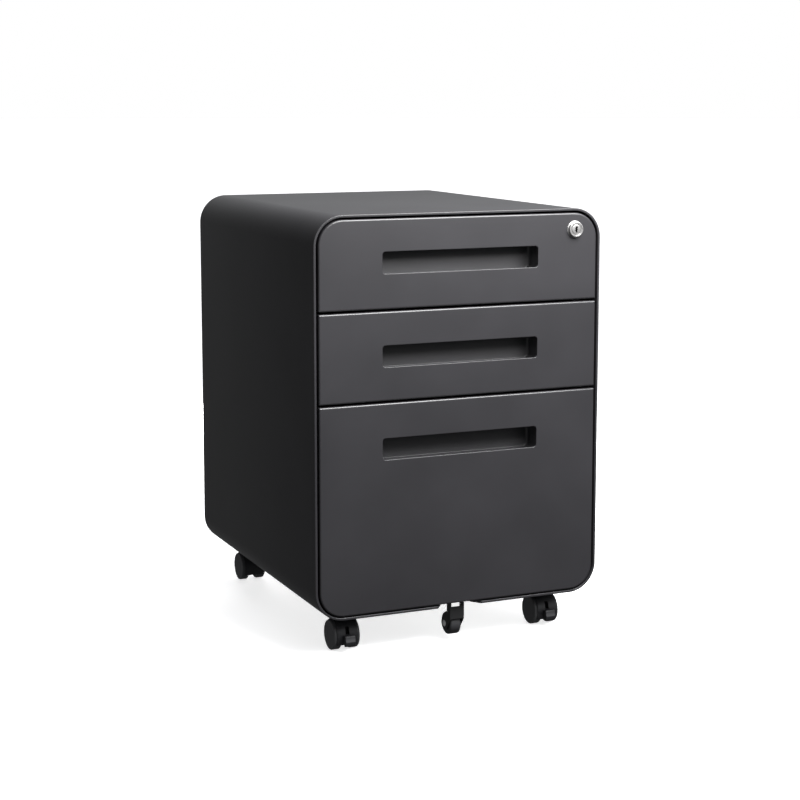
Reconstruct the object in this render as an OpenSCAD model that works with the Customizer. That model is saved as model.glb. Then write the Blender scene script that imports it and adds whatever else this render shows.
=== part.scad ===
// Rolling pedestal cabinet: two box drawers over a file drawer, on four twin-wheel casters.
// X is the width, the drawer fronts face -Y and Z is up.
// The origin is on the floor, under the middle of the whole cabinet.

/* [Cabinet] */
// Width of the outer shell
body_w = 390; // [384:1:400]
// Depth of the outer shell, front rim to rear edge
body_d = 450; // [446:1:470]
// Height of the outer shell without its casters
shell_h = 499; // [495:1:510]
// Height of the shell's underside above the floor
clearance = 51; // [50:0.5:54]
// Outer radius of the shell's four long corners
corner_r = 37.5; // [32:0.5:40]
// Thickness of the sheet steel
sheet = 1; // [0.8:0.1:1.2]
// Width of the folded rim round the shell's mouth
rim_w = 3; // [2.6:0.1:3.4]
// Depth of the rim's inner fold
rim_fold = 12; // [8:1:16]
// Width of the notch for the fifth wheel, at the rim
notch_w = 62; // [56:1:70]
// Depth of the notch in the shell's bottom
notch_d = 52; // [44:1:53]

/* [Drawers] */
// How far the drawer fronts stand in front of the rim
front_proud = 0.8; // [0:0.1:1.4]
// Gap between the shell's outside and a front's side edges
side_margin = 6; // [5:0.1:7]
// Gap between the shell's top and the top front
top_margin = 5.7; // [4.6:0.1:6]
// Gap between the shell's underside and the file front
bottom_margin = 4.9; // [4.4:0.1:6]
// Seam between two fronts
seam = 3; // [2:0.1:4]
// Height of the two box drawer fronts
box_front_h = 110; // [105:1:115]
// Back of the folded drawer fronts, behind the rim
front_back = 20.6; // [20.2:0.1:22]
// Travel of every drawer
travel = 370; // [300:5:375]
// Height of the sides of the two box drawers
box_side_h = 60; // [50:1:62]
// Height of the sides of the file drawer
file_side_h = 205; // [180:1:210]
// Length of a drawer tray
tray_len = 408; // [400:1:410]
// Thickness of the tray's sheet steel
tray_wall = 1.2; // [0.8:0.1:1.4]

/* [Handles] */
// Width of a handle opening
handle_w = 212; // [180:1:240]
// Height of a handle opening
handle_h = 27; // [24:1:30]
// Corner radius of a handle opening
handle_r = 4; // [2:0.5:8]
// Depth of the handle cup behind the front's skin
cup_depth = 28; // [22:1:32]
// Finger room above the handle opening
cup_undercut = 8; // [4:1:10]
// Depth of the cup's floor below the handle opening
cup_drop = 3; // [0:0.5:4]
// Wall of the handle cup
cup_wall = 1.6; // [1.2:0.1:2]

/* [Lock] */
// Lock centre, from the cabinet's middle
lock_x = 158; // [150:1:164]
// Lock centre, below the shell's top
lock_drop = 26.6; // [24:0.2:30]
// How far the lock's face stands in front of the rim
lock_proud = 5.5; // [4:0.5:8]
// Diameter of the lock's flange
lock_flange_d = 22; // [20:0.5:25]
// Diameter of the lock's face step
lock_face_d = 19.6; // [18:0.2:19.8]
// Diameter of the turning plug
plug_d = 12.5; // [10:0.5:13.5]
// Radius of the cam pin's path
cam_r = 7; // [5:0.5:8]

/* [Casters] */
// Caster centre, from the cabinet's middle
caster_x = 141; // [125:1:145]
// Front axles, behind the rim
front_axle_y = 50; // [48:1:60]
// Rear axles, behind the rim
rear_axle_y = 409; // [395:1:412]
// Diameter of the twin wheels
wheel_d = 38; // [37:0.5:38]
// Thickness of one twin wheel
wheel_t = 10.6; // [9:0.2:11]
// Width over both wheels
twin_w = 34.6; // [34:0.2:37]
// Distance from the axle to the swivel stem
trail = 14; // [13:0.5:15]
// Turn of the brake pedal
pedal_turn = 15; // [5:1:15]

/* [Fifth wheel] */
// Diameter of the wheel under the file drawer
fifth_d = 29; // [26:0.5:30]
// Width over its fork
fork_w = 19.5; // [15:0.5:20]
// Axle of the wheel, behind the rim
fork_axle_y = 26; // [25:0.5:30]
// Axle of the wheel, below the shell
fork_axle_drop = 28; // [26:0.5:30]

/* [Hidden] */
$fn = 96;
eps = 1;
fit = 0.3;

front_y = -(body_d - lock_proud) / 2;
front_w = body_w - 2 * side_margin;
file_front_h = shell_h - top_margin - bottom_margin - 2 * seam - 2 * box_front_h;
front_corner_r = corner_r - side_margin;
front_face_y = -front_proud;
front_depth = front_proud + front_back;
skin_back_y = front_face_y + sheet;
liner_y = front_back - sheet;
tray_y = front_back;

// One record a drawer: bottom of its front, height, lower and upper corner radius, handle drop, tray
// bottom, tray side height and slide height
TOP = 0;
MIDDLE = 1;
FILE = 2;
top_z = shell_h - top_margin - box_front_h;
middle_z = top_z - seam - box_front_h;
box_tray_lift = 8;
file_tray_z = 22;
DRAWERS = [
    [top_z, box_front_h, 0, front_corner_r, 40, top_z + box_tray_lift, box_side_h, top_z + 34],
    [middle_z, box_front_h, 0, 0, 41.5, middle_z + box_tray_lift, box_side_h, middle_z + 34],
    [bottom_margin, file_front_h, front_corner_r, 0, 43.5, file_tray_z, file_side_h, 130]
];
function front_z(d) = DRAWERS[d][0];
function front_h(d) = DRAWERS[d][1];
function handle_top(d) = front_z(d) + front_h(d) - DRAWERS[d][4];
function tray_z(d) = DRAWERS[d][5];
function side_h(d) = DRAWERS[d][6];
function slide_z(d) = DRAWERS[d][7];

// Slide rails: height and thickness of the closed set, and the wall of its three members
slide_h = 35;
slide_t = 12.7;
slide_wall = 1.2;
ball_gap = 3.1;
slide_y = 42;
slide_len = 393;
upright_d = 9;
upright_w = 40;
upright_ys = [46, 372];
slide_mount_x = body_w / 2 - sheet - upright_d;
tray_w = 2 * (slide_mount_x - slide_t);
flange_w = 14;
hem_w = 4;

// Base channels that carry the caster stems
channel_h = 12;
channel_w = 40;
channel_len = 312;
stem_y = [front_axle_y + trail, rear_axle_y + trail];
stem_d = 8;
nut_w = 13;
nut_h = 6.5;
channel_y = [notch_d + 3, stem_y[1] - 30];

// Lock: the bar moves down by cam_drop while the plug makes a quarter turn
lock_z = shell_h - lock_drop;
lock_y = -lock_proud;
cam_drop = 2 * cam_r * sin(45);
cam_pin_d = 4;
cam_y = tray_y + 2;
cam_t = 2;
barrel_d = 18;
bar_x = slide_mount_x + 2;
bar_t = 2;
bar_y = 26;
bar_w = 12;
bar_z0 = 60;
catch_t = 3;
catch_h = 10;
catch_reach = 3.2;
hook_h = 10;
hook_gap = 0.7;
guide_wall = 1.6;
guide_h = 24;
guide_zs = [165, 345];
function catch_z(d) = tray_z(d) + side_h(d) - catch_h - 6;

// Hanging file rails: spacing of a letter-size folder's hooks
rail_gap = 318;
rail_t = 3;
rail_h = 14;

// Caster housing, measured from the axle
wheel_r = wheel_d / 2;
hood_in_r = wheel_r + 0.4;
hood_r = wheel_r + 1.6;
hood_w = 27;
web_w = 12.4;
axle_r = 2.5;
run_gap = 0.05;
hood_low = -10;
boss_top = 24;
axle_z = wheel_r;
pedal_pivot = [-17, 1];
slot_w = 5.2;
pedal_w = 13;

// Fork of the fifth wheel
fork_wall = 1.8;
fork_front_y = 8;
strut_w = 11;
fork_axle_r = 3;

graphite = [0.235, 0.235, 0.245];
plastic_black = [0.13, 0.13, 0.135];
zinc = [0.72, 0.73, 0.75];
chrome_plate = [0.82, 0.82, 0.84];

// ---------- Helpers ----------

// The shell's frame: y is measured back from the rim, z up from the shell's underside
module in_shell() {
    translate([0, front_y, clearance]) children();
}

// Extrudes an outline drawn in X and Z from y0 towards the back
module along_y(y0, length) {
    translate([0, y0 + length, 0]) rotate([90, 0, 0]) linear_extrude(length) children();
}

// Extrudes an outline drawn in Y and Z from x0 to the right
module along_x(x0, length) {
    translate([x0, 0, 0]) rotate([90, 0, 90]) linear_extrude(length) children();
}

// Extrudes a round of radius r along X, centred on x = 0
module rod_x(r, length) {
    rotate([0, 90, 0]) cylinder(r = r, h = length, center = true);
}

// Extrudes a round of radius r from y0 towards the back
module rod_y(r, y0, length) {
    translate([0, y0, 0]) rotate([-90, 0, 0]) cylinder(r = r, h = length);
}

// A panel of width w from z = z0 to z0 + h, with its own lower and upper corner radii
module panel_outline(w, z0, h, r_low, r_high) {
    translate([-w / 2, z0 + r_low]) square([w, h - r_low - r_high]);
    if (r_low > 0) {
        translate([-w / 2 + r_low, z0]) square([w - 2 * r_low, r_low]);
        for (x = [-1, 1]) translate([x * (w / 2 - r_low), z0 + r_low]) circle(r = r_low);
    }
    if (r_high > 0) {
        translate([-w / 2 + r_high, z0 + h - r_high]) square([w - 2 * r_high, r_high]);
        for (x = [-1, 1]) translate([x * (w / 2 - r_high), z0 + h - r_high]) circle(r = r_high);
    }
}

module shell_outline(inset) {
    r = corner_r - inset;
    panel_outline(body_w - 2 * inset, inset, shell_h - 2 * inset, r, r);
}

module front_outline(d, inset) {
    r_low = max(DRAWERS[d][2] - inset, 0);
    r_high = max(DRAWERS[d][3] - inset, 0);
    panel_outline(front_w - 2 * inset, front_z(d) + inset, front_h(d) - 2 * inset, r_low, r_high);
}

// ---------- Cabinet body ----------

module outer_shell() color(graphite) in_shell() difference() {
    union() {
        along_y(0, body_d) difference() {
            shell_outline(0);
            shell_outline(sheet);
        }
        along_y(0, sheet) difference() {
            shell_outline(0);
            shell_outline(rim_w);
        }
        along_y(0, rim_fold) difference() {
            shell_outline(rim_w - sheet);
            shell_outline(rim_w);
        }
    }
    rim_notch();
    for (x = [-1, 1], y = stem_y) translate([x * caster_x, y, -eps])
        cylinder(d = stem_d + 1, h = sheet + 2 * eps);
}

// The notch narrows behind the rim's fold
module rim_notch() {
    half = notch_w / 2;
    neck = half - 10;
    translate([0, 0, -eps]) linear_extrude(rim_w + 2 * eps) polygon([
        [-half, -eps], [half, -eps], [neck, rim_fold + 1], [neck, notch_d],
        [-neck, notch_d], [-neck, rim_fold + 1]
    ]);
}

module back_panel() color(graphite) in_shell() {
    panel_y = body_d - 4;
    flange = 12;
    along_y(panel_y, sheet) shell_outline(sheet + fit);
    along_y(panel_y - flange, flange + sheet) difference() {
        shell_outline(sheet + fit);
        shell_outline(2 * sheet + fit);
    }
}

// Each upright has a slot behind every slide for the slide's hooks
module slide_uprights() color(zinc) in_shell() {
    foot = 45;
    slot = [16, 6];
    for (side = [0, 1], y = upright_ys) mirror([side, 0, 0]) translate([slide_mount_x, y, foot])
        difference() {
            cube([upright_d, upright_w, shell_h - 2 * foot]);
            translate([sheet, sheet, -eps]) cube([upright_d, upright_w - 2 * sheet, shell_h]);
            for (d = [TOP, MIDDLE, FILE])
                translate([-eps, (upright_w - slot[0]) / 2, slide_z(d) - foot - slot[1] / 2])
                    cube([sheet + 2 * eps, slot[0], slot[1]]);
        }
}

module base_channel(y) {
    wall = 1.5 * sheet;
    translate([-channel_len / 2, y, sheet]) difference() {
        cube([channel_len, channel_w, channel_h]);
        translate([-eps, wall, -eps])
            cube([channel_len + 2 * eps, channel_w - 2 * wall, channel_h + eps - wall]);
    }
}

module drilled_channel(i) color(zinc) in_shell() difference() {
    base_channel(channel_y[i]);
    for (x = [-1, 1]) translate([x * caster_x, stem_y[i], 0]) cylinder(d = stem_d + 0.6, h = 2 * channel_h);
}

module caster_stems() color(zinc) {
    collar_d = 14;
    socket_z = axle_z + 2.5;
    collar_z = axle_z + boss_top + fit;
    for (x = [-1, 1], y = stem_y) translate([x * caster_x, front_y + y, 0]) {
        translate([0, 0, socket_z]) cylinder(d = stem_d, h = clearance + 22 - socket_z);
        translate([0, 0, collar_z]) cylinder(d = collar_d, h = clearance - collar_z);
    }
}

module caster_nuts() color(zinc) in_shell() {
    for (x = [-1, 1], y = stem_y) translate([x * caster_x, y, sheet + channel_h]) difference() {
        cylinder(d = nut_w * 2 / sqrt(3), h = nut_h, $fn = 6);
        translate([0, 0, -eps]) cylinder(d = stem_d + 0.02, h = nut_h + 2 * eps);
    }
}

// ---------- Slide rails ----------

// Outlines of the three members: x is measured from the cabinet side towards the drawer
module slide_outer_outline() difference() {
    translate([0, -slide_h / 2]) square([slide_t - 1.2, slide_h]);
    translate([slide_wall, -slide_h / 2 + slide_wall]) square([slide_t, slide_h - 2 * slide_wall]);
}

module slide_intermediate_outline() difference() {
    h = slide_h - 2 * (slide_wall + ball_gap);
    translate([2.4, -h / 2]) square([8.4, h]);
    translate([2.4 + slide_wall, -h / 2 + slide_wall]) square([slide_t, h - 2 * slide_wall]);
}

module slide_inner_outline() difference() {
    h = slide_h - 4 * (slide_wall + ball_gap);
    translate([5, -h / 2]) square([slide_t - 5, h]);
    translate([4, -h / 2 + slide_wall]) square([slide_t - slide_wall - 4, h - 2 * slide_wall]);
}

// A left and a right member at drawer d's slide height
module slide_pair(d, y0, length) {
    for (side = [0, 1]) mirror([side, 0, 0]) translate([slide_mount_x, 0, slide_z(d)])
        along_y(y0, length) mirror([1, 0]) children();
}

module slide_outer_members() color(zinc) in_shell() {
    for (d = [TOP, MIDDLE, FILE]) slide_pair(d, slide_y, slide_len) slide_outer_outline();
}

module slide_intermediate(d) color(zinc) in_shell() {
    slide_pair(d, slide_y + 1, slide_len - 8) slide_intermediate_outline();
}

module slide_inner(d) color(zinc) in_shell() {
    slide_pair(d, slide_y - 1, slide_len - 6) slide_inner_outline();
}

// ---------- Drawers ----------

module handle_opening(d) {
    panel_outline(handle_w, handle_top(d) - handle_h, handle_h, handle_r, handle_r);
}

// The cup's hollow: the opening with finger room above it and a lower floor
module cup_outline(d, grow) {
    translate([-handle_w / 2 - grow, handle_top(d) - handle_h - cup_drop - grow])
        square([handle_w + 2 * grow, cup_drop + handle_h + cup_undercut + 2 * grow]);
}

module drawer_front(d) color(graphite) in_shell() difference() {
    along_y(front_face_y, front_depth) front_outline(d, 0);
    along_y(skin_back_y, front_depth) front_outline(d, sheet);
    along_y(front_face_y - eps, sheet + 2 * eps) handle_opening(d);
    if (d == TOP) translate([lock_x, 0, lock_z]) rod_y((barrel_d + 0.2) / 2, front_face_y - eps, 3 * eps);
    if (d == FILE) translate([-fork_w / 2 - 0.5, fork_front_y - 0.5, 0])
        cube([fork_w + 1, strut_w + 1, bottom_margin + sheet + 0.5]);
}

module drawer_liner(d) color(zinc) in_shell() difference() {
    along_y(liner_y, sheet) front_outline(d, sheet + 0.2);
    along_y(liner_y - eps, sheet + 2 * eps) cup_outline(d, cup_wall + 0.4);
    screw_places(d) rod_y(2.1, liner_y - eps, sheet + 2 * eps);
    if (d == TOP) translate([lock_x, 0, lock_z]) rod_y(barrel_d / 2 + 1, liner_y - eps, sheet + 2 * eps);
}

module handle_cup(d) color(graphite) in_shell() {
    lip = 7;
    difference() {
        along_y(skin_back_y, 1.2) cup_outline(d, lip);
        along_y(front_face_y, front_depth) cup_outline(d, cup_wall / 2);
    }
    difference() {
        along_y(skin_back_y, cup_depth) cup_outline(d, cup_wall);
        along_y(front_face_y, sheet + cup_depth - cup_wall) cup_outline(d, 0);
    }
}

module drawer_tray(d) color(zinc) in_shell() difference() {
    union() {
        difference() {
            translate([-tray_w / 2, tray_y, tray_z(d)]) cube([tray_w, tray_len, side_h(d)]);
            translate([-tray_w / 2 + tray_wall, tray_y - eps, tray_z(d) + tray_wall])
                cube([tray_w - 2 * tray_wall, tray_len + eps - tray_wall, side_h(d)]);
        }
        for (side = [0, 1]) mirror([side, 0, 0]) {
            translate([tray_w / 2 - flange_w, tray_y, tray_z(d)]) cube([flange_w, tray_wall, side_h(d)]);
            translate([tray_w / 2 - hem_w, tray_y, tray_z(d) + side_h(d) - tray_wall])
                cube([hem_w, tray_len, tray_wall]);
        }
        translate([tray_w / 2 - eps, bar_y + 7, catch_z(d)]) cube([catch_reach + eps, catch_t, catch_h]);
    }
    screw_places(d) rod_y(2.1, tray_y - eps, tray_wall + 2 * eps);
}

// Two screws through each front flange of the tray into the liner
module screw_places(d) {
    for (side = [-1, 1], z = [12, side_h(d) - 12])
        translate([side * (tray_w / 2 - flange_w / 2 - 1), 0, tray_z(d) + z]) children();
}

module front_screws(d) color(zinc) in_shell() screw_places(d) {
    rod_y(2, liner_y - 4, 4 + sheet + tray_wall + 0.5);
    rod_y(3.6, tray_y + tray_wall, 2);
}

module hanging_rails() color(zinc) in_shell() {
    z = tray_z(FILE) + side_h(FILE) + 4;
    tab_w = 16;
    for (side = [0, 1]) mirror([side, 0, 0]) {
        translate([rail_gap / 2, tray_y, z]) cube([rail_t, tray_len - tray_wall, rail_h]);
        translate([rail_gap / 2 - tab_w, tray_y, z]) cube([tab_w + eps, 1.5, rail_h]);
        translate([rail_gap / 2, tray_y + tray_len - 30, z - 20]) cube([rail_t, 30 - tray_wall, 21]);
        translate([rail_gap / 2, tray_y + tray_len - tray_wall - 1.5, z - 20])
            cube([tray_w / 2 - tray_wall - rail_gap / 2, 1.5, 14]);
    }
}

// ---------- Lock ----------

module lock_housing() color(chrome_plate) in_shell() translate([lock_x, 0, lock_z]) difference() {
    face_step = 3.9;
    union() {
        rod_y(lock_face_d / 2, lock_y, face_step + fit);
        rod_y(lock_flange_d / 2, lock_y + face_step, front_face_y - lock_y - face_step);
        rod_y(barrel_d / 2, lock_y + face_step, cam_y - lock_y - face_step - 3);
    }
    rod_y(plug_d / 2 + run_gap, lock_y - eps, cam_y + 2 * lock_proud);
}

module lock_nut() color(zinc) in_shell() translate([lock_x, 0, lock_z]) difference() {
    translate([0, skin_back_y, 0]) rotate([-90, 30, 0]) cylinder(d = 26, h = 4, $fn = 6);
    rod_y(barrel_d / 2 + 0.01, front_face_y, front_depth);
}

module lock_plug() color(chrome_plate) in_shell() translate([lock_x, 0, lock_z]) difference() {
    rod_y(plug_d / 2, lock_y + 0.4, cam_y - lock_y - 0.4);
    translate([-0.7, lock_y - eps, -3.6]) cube([1.4, 9, 7.2]);
}

// The cam's pin stands up and to the right at rest and turns down to lock
module lock_cam() color(zinc) in_shell() translate([lock_x, 0, lock_z]) {
    rod_y(4.5, cam_y, cam_t);
    rotate([0, -45, 0]) {
        translate([0, cam_y, -3]) cube([cam_r, cam_t, 6]);
        translate([cam_r, 0, 0]) {
            rod_y(3, cam_y, cam_t);
            rod_y(cam_pin_d / 2, cam_y, 8);
        }
    }
}

// The arm's slot takes the cam's pin; a lower step joins the arm to the bar, clear of the shell's corner
module lock_bar() color(zinc) in_shell() {
    slot_gap = 0.4;
    side_gap = 1;
    arm_y = cam_y + cam_t + 2;
    arm_h = 14;
    pin_z = lock_z + cam_drop / 2;
    slot_x = lock_x + cam_r * cos(45) - cam_pin_d / 2 - side_gap;
    slot_w = cam_r * (1 - cos(45)) + cam_pin_d + 2 * side_gap;
    arm_x = slot_x - side_gap;
    arm_w = slot_w + 4 * side_gap;
    step_z = pin_z - arm_h / 2 - 6;
    step_h = 10;
    hook_x = tray_w / 2 + hook_gap;
    translate([bar_x, bar_y, bar_z0]) cube([bar_t, bar_w, step_z + step_h - bar_z0]);
    translate([arm_x, arm_y, step_z]) cube([bar_x - arm_x + eps, bar_t, step_h]);
    difference() {
        translate([arm_x, arm_y, pin_z - arm_h / 2]) cube([arm_w, bar_t, arm_h]);
        translate([slot_x, arm_y - eps, pin_z - cam_pin_d / 2 - slot_gap])
            cube([slot_w, bar_t + 2 * eps, cam_pin_d + 2 * slot_gap]);
    }
    for (d = [TOP, MIDDLE, FILE]) translate([hook_x, bar_y + 2, catch_z(d) + catch_h + 1])
        cube([bar_x - hook_x + eps, catch_t + 1, hook_h]);
}

module lock_bar_guides() color(zinc) in_shell() {
    gap = 0.4;
    back_x = bar_x + bar_t + gap;
    outer_w = bar_w + 2 * (gap + guide_wall);
    for (z = guide_zs) translate([0, bar_y - gap - guide_wall, z]) {
        difference() {
            translate([bar_x, 0, 0]) cube([bar_t + gap + guide_wall, outer_w, guide_h]);
            translate([bar_x - eps, guide_wall, -eps])
                cube([bar_t + gap + eps, bar_w + 2 * gap, guide_h + 2 * eps]);
        }
        translate([back_x, guide_wall, 4]) cube([body_w / 2 - sheet - back_x, 8, guide_h - 8]);
    }
}

// ---------- Fifth wheel ----------

module fork_side_outline() {
    plate_top = bottom_margin + sheet;
    translate([fork_front_y, -19]) square([strut_w, 19 + plate_top + 1.5]);
    translate([fork_axle_y, -fork_axle_drop]) circle(r = 9);
    polygon([
        [fork_front_y, -19], [fork_front_y + strut_w, -12], [fork_axle_y + 6, -fork_axle_drop + 7.5],
        [fork_axle_y, -fork_axle_drop], [fork_axle_y - 6.5, -fork_axle_drop - 6]
    ]);
}

module fifth_wheel_fork() color(plastic_black) in_shell() difference() {
    union() {
        for (x = [-fork_w / 2, fork_w / 2 - fork_wall]) along_x(x, fork_wall) fork_side_outline();
        translate([-fork_w / 2, fork_front_y, -19]) cube([fork_w, fork_wall, 16.5]);
        translate([-22, fork_front_y - 2, bottom_margin + sheet]) cube([44, strut_w, 1.5]);
    }
    translate([0, fork_axle_y, -fork_axle_drop]) rod_x(fork_axle_r, 2 * fork_w);
    fork_rivet_places() cylinder(r = 2.1, h = 20, center = true);
}

module fork_rivet_places() {
    for (x = [-1, 1]) translate([x * 17, fork_front_y + 4, bottom_margin]) children();
}

module fork_rivets() color(zinc) in_shell() fork_rivet_places() {
    translate([0, 0, -1.2]) cylinder(r = 3.2, h = 1.2);
    translate([0, 0, sheet]) cylinder(r = 2.05, h = 3);
}

module fifth_wheel_axle() color(zinc) in_shell() translate([0, fork_axle_y, -fork_axle_drop]) {
    head_t = 1.4;
    rod_x(fork_axle_r, fork_w);
    for (x = [-1, 1]) translate([x * (fork_w + head_t) / 2, 0, 0]) rod_x(4.2, head_t);
}

// A wheel of radius r and thickness t about X, with its edges eased by e
module wheel(r, t, bore_r, e) {
    rotate([0, 90, 0]) rotate_extrude() polygon([
        [bore_r, -t / 2], [r - 2 * e, -t / 2], [r - e * 0.6, -t / 2 + e * 0.6], [r, -t / 2 + 2 * e],
        [r, t / 2 - 2 * e], [r - e * 0.6, t / 2 - e * 0.6], [r - 2 * e, t / 2], [bore_r, t / 2]
    ]);
}

module fifth_wheel() color(plastic_black) in_shell() translate([0, fork_axle_y, -fork_axle_drop])
    wheel(fifth_d / 2, fork_w - 2 * fork_wall - 0.8, fork_axle_r + run_gap, 1.6);

// ---------- Casters ----------

// Moves to the axle of the caster on side x (-1 left, 1 right) in row y (0 front, 1 rear)
module at_axle(x, y) {
    axle_y = [front_axle_y, rear_axle_y][y];
    translate([x * caster_x, front_y + axle_y, axle_z]) children();
}

module hood_outline() difference() {
    circle(r = hood_r);
    circle(r = hood_in_r);
    translate([-2 * hood_r, hood_low - hood_r]) square([2 * hood_r, hood_r]);
    translate([0, -hood_r]) square([2 * hood_r, hood_r + 3]);
}

// The web between the wheels, cut level at the bottom
module web_outline() difference() {
    union() {
        circle(r = hood_in_r + 0.3);
        translate([0, 2]) square([trail + 6, boss_top - 6]);
    }
    translate([-2 * hood_r, -2 * hood_r]) square([4 * hood_r, 2 * hood_r + hood_low]);
}

module caster_housing(x, y) color(plastic_black) at_axle(x, y) difference() {
    union() {
        along_x(-hood_w / 2, hood_w) hood_outline();
        along_x(-web_w / 2, web_w) web_outline();
        translate([0, trail, hood_in_r - 4]) cylinder(r = web_w / 2, h = boss_top - hood_in_r + 4);
        translate([0, trail, hood_r - 0.2]) cylinder(r = 8.5, h = boss_top - hood_r + 0.2);
    }
    translate([0, trail, 2]) cylinder(r = stem_d / 2 + run_gap, h = boss_top);
    rod_x(axle_r, 2 * web_w);
    if (y == 0) {
        translate([-slot_w / 2, -hood_r - eps, -9]) cube([slot_w, 11, 22]);
        translate([0, pedal_pivot[0], pedal_pivot[1]]) rod_x(1.5 + run_gap, 2 * web_w);
    }
}

module caster_axle(x, y) color(zinc) at_axle(x, y) rod_x(axle_r, twin_w - 4);

// Wheel on side w of the caster: -1 towards -X, 1 towards +X
module caster_wheel(x, y, w) color(plastic_black) at_axle(x, y)
    translate([w * (twin_w - wheel_t) / 2, 0, 0]) difference() {
        wheel(wheel_r, wheel_t, 0, 1.2);
        translate([-w * 2, 0, 0]) rod_x(axle_r + run_gap, wheel_t);
    }

module caster_pedal(x) color(plastic_black) at_axle(x, 0) {
    translate([0, pedal_pivot[0], pedal_pivot[1]]) {
        rod_x(1.5, web_w - 0.6);
        rod_x(3.2, slot_w - 0.8);
        translate([-slot_w / 2 + 0.4, -6, -3]) cube([slot_w - 0.8, 6, 6]);
        translate([-pedal_w / 2, -13, -11]) cube([pedal_w, 8, 14]);
        translate([-pedal_w / 2, -14, -5]) cube([pedal_w, 2, 2.4]);
    }
}

outer_shell();
back_panel();
slide_uprights();
drilled_channel(0);  // front_base_channel
drilled_channel(1);  // rear_base_channel
slide_outer_members();
lock_bar_guides();
caster_stems();
caster_nuts();
lock_bar();
drawer_front(TOP);  // top_front
drawer_liner(TOP);  // top_liner
handle_cup(TOP);  // top_handle_cup
drawer_tray(TOP);  // top_tray
slide_inner(TOP);  // top_slide_inner
front_screws(TOP);  // top_screws
slide_intermediate(TOP);  // top_slide_intermediate
lock_housing();
lock_nut();
lock_plug();
lock_cam();
drawer_front(MIDDLE);  // middle_front
drawer_liner(MIDDLE);  // middle_liner
handle_cup(MIDDLE);  // middle_handle_cup
drawer_tray(MIDDLE);  // middle_tray
slide_inner(MIDDLE);  // middle_slide_inner
front_screws(MIDDLE);  // middle_screws
slide_intermediate(MIDDLE);  // middle_slide_intermediate
drawer_front(FILE);  // file_front
drawer_liner(FILE);  // file_liner
handle_cup(FILE);  // file_handle_cup
drawer_tray(FILE);  // file_tray
slide_inner(FILE);  // file_slide_inner
front_screws(FILE);  // file_screws
slide_intermediate(FILE);  // file_slide_intermediate
hanging_rails();
fifth_wheel_fork();
fork_rivets();
fifth_wheel_axle();
fifth_wheel();
caster_housing(-1, 0);  // caster_front_left_housing
caster_axle(-1, 0);  // caster_front_left_axle
caster_wheel(-1, 0, -1);  // caster_front_left_wheel_outer
caster_wheel(-1, 0, 1);  // caster_front_left_wheel_inner
caster_pedal(-1);  // caster_front_left_pedal
caster_housing(1, 0);  // caster_front_right_housing
caster_axle(1, 0);  // caster_front_right_axle
caster_wheel(1, 0, 1);  // caster_front_right_wheel_outer
caster_wheel(1, 0, -1);  // caster_front_right_wheel_inner
caster_pedal(1);  // caster_front_right_pedal
caster_housing(-1, 1);  // caster_rear_left_housing
caster_axle(-1, 1);  // caster_rear_left_axle
caster_wheel(-1, 1, -1);  // caster_rear_left_wheel_outer
caster_wheel(-1, 1, 1);  // caster_rear_left_wheel_inner
caster_housing(1, 1);  // caster_rear_right_housing
caster_axle(1, 1);  // caster_rear_right_axle
caster_wheel(1, 1, 1);  // caster_rear_right_wheel_outer
caster_wheel(1, 1, -1);  // caster_rear_right_wheel_inner
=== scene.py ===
"""Rolling pedestal cabinet: the looks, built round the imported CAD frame. Metres, row frame."""
import math

import bmesh
import bpy
from mathutils import Matrix, Vector


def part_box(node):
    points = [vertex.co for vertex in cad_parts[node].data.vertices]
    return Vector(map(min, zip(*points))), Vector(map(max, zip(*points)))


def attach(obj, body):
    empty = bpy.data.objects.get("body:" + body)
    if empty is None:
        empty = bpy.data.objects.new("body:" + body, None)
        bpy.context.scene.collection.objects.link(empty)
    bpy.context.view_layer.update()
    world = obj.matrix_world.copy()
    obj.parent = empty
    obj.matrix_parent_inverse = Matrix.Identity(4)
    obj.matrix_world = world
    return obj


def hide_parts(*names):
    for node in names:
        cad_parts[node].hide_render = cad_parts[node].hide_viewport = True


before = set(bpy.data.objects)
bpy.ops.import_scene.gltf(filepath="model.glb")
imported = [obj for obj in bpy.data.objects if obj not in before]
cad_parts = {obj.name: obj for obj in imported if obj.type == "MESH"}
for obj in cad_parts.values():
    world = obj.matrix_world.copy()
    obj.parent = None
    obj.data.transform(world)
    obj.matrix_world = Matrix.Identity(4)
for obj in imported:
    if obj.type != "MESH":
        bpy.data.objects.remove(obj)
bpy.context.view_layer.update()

MM = 0.001
ARC = 14                       # segments in a quarter turn of a large corner

# ---------- Driving dimensions, repeated from the design ----------
SHELL_LO, SHELL_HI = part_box("outer_shell")
SHELL_W = SHELL_HI.x - SHELL_LO.x
SHELL_H = SHELL_HI.z - SHELL_LO.z
RIM_Y = SHELL_LO.y
BACK_Y = SHELL_HI.y
BASE_Z = SHELL_LO.z
CORNER_R = 37.5 * MM
SHEET = 1.0 * MM
RIM_W = 3.0 * MM
RIM_FOLD = 12.0 * MM
HANDLE_W = 212 * MM
HANDLE_H = 27 * MM
HANDLE_R = 4 * MM
HANDLE_DROP = {"top": 40 * MM, "middle": 41.5 * MM, "file": 43.5 * MM}
CUP_DEPTH = 28 * MM
CUP_UNDERCUT = 8 * MM
CUP_DROP = 3 * MM
NOTCH_HALF = 31 * MM
NOTCH_NECK = 21 * MM
NOTCH_D = 52 * MM
FORK_W = 19.5 * MM
LOCK_X = 158 * MM
LOCK_Z = SHELL_HI.z - 26.6 * MM
TRAIL = 14 * MM                # from a caster's axle back to its swivel
ROWS = ("front", "rear")
SIDES = {"left": -1, "right": 1}


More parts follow.
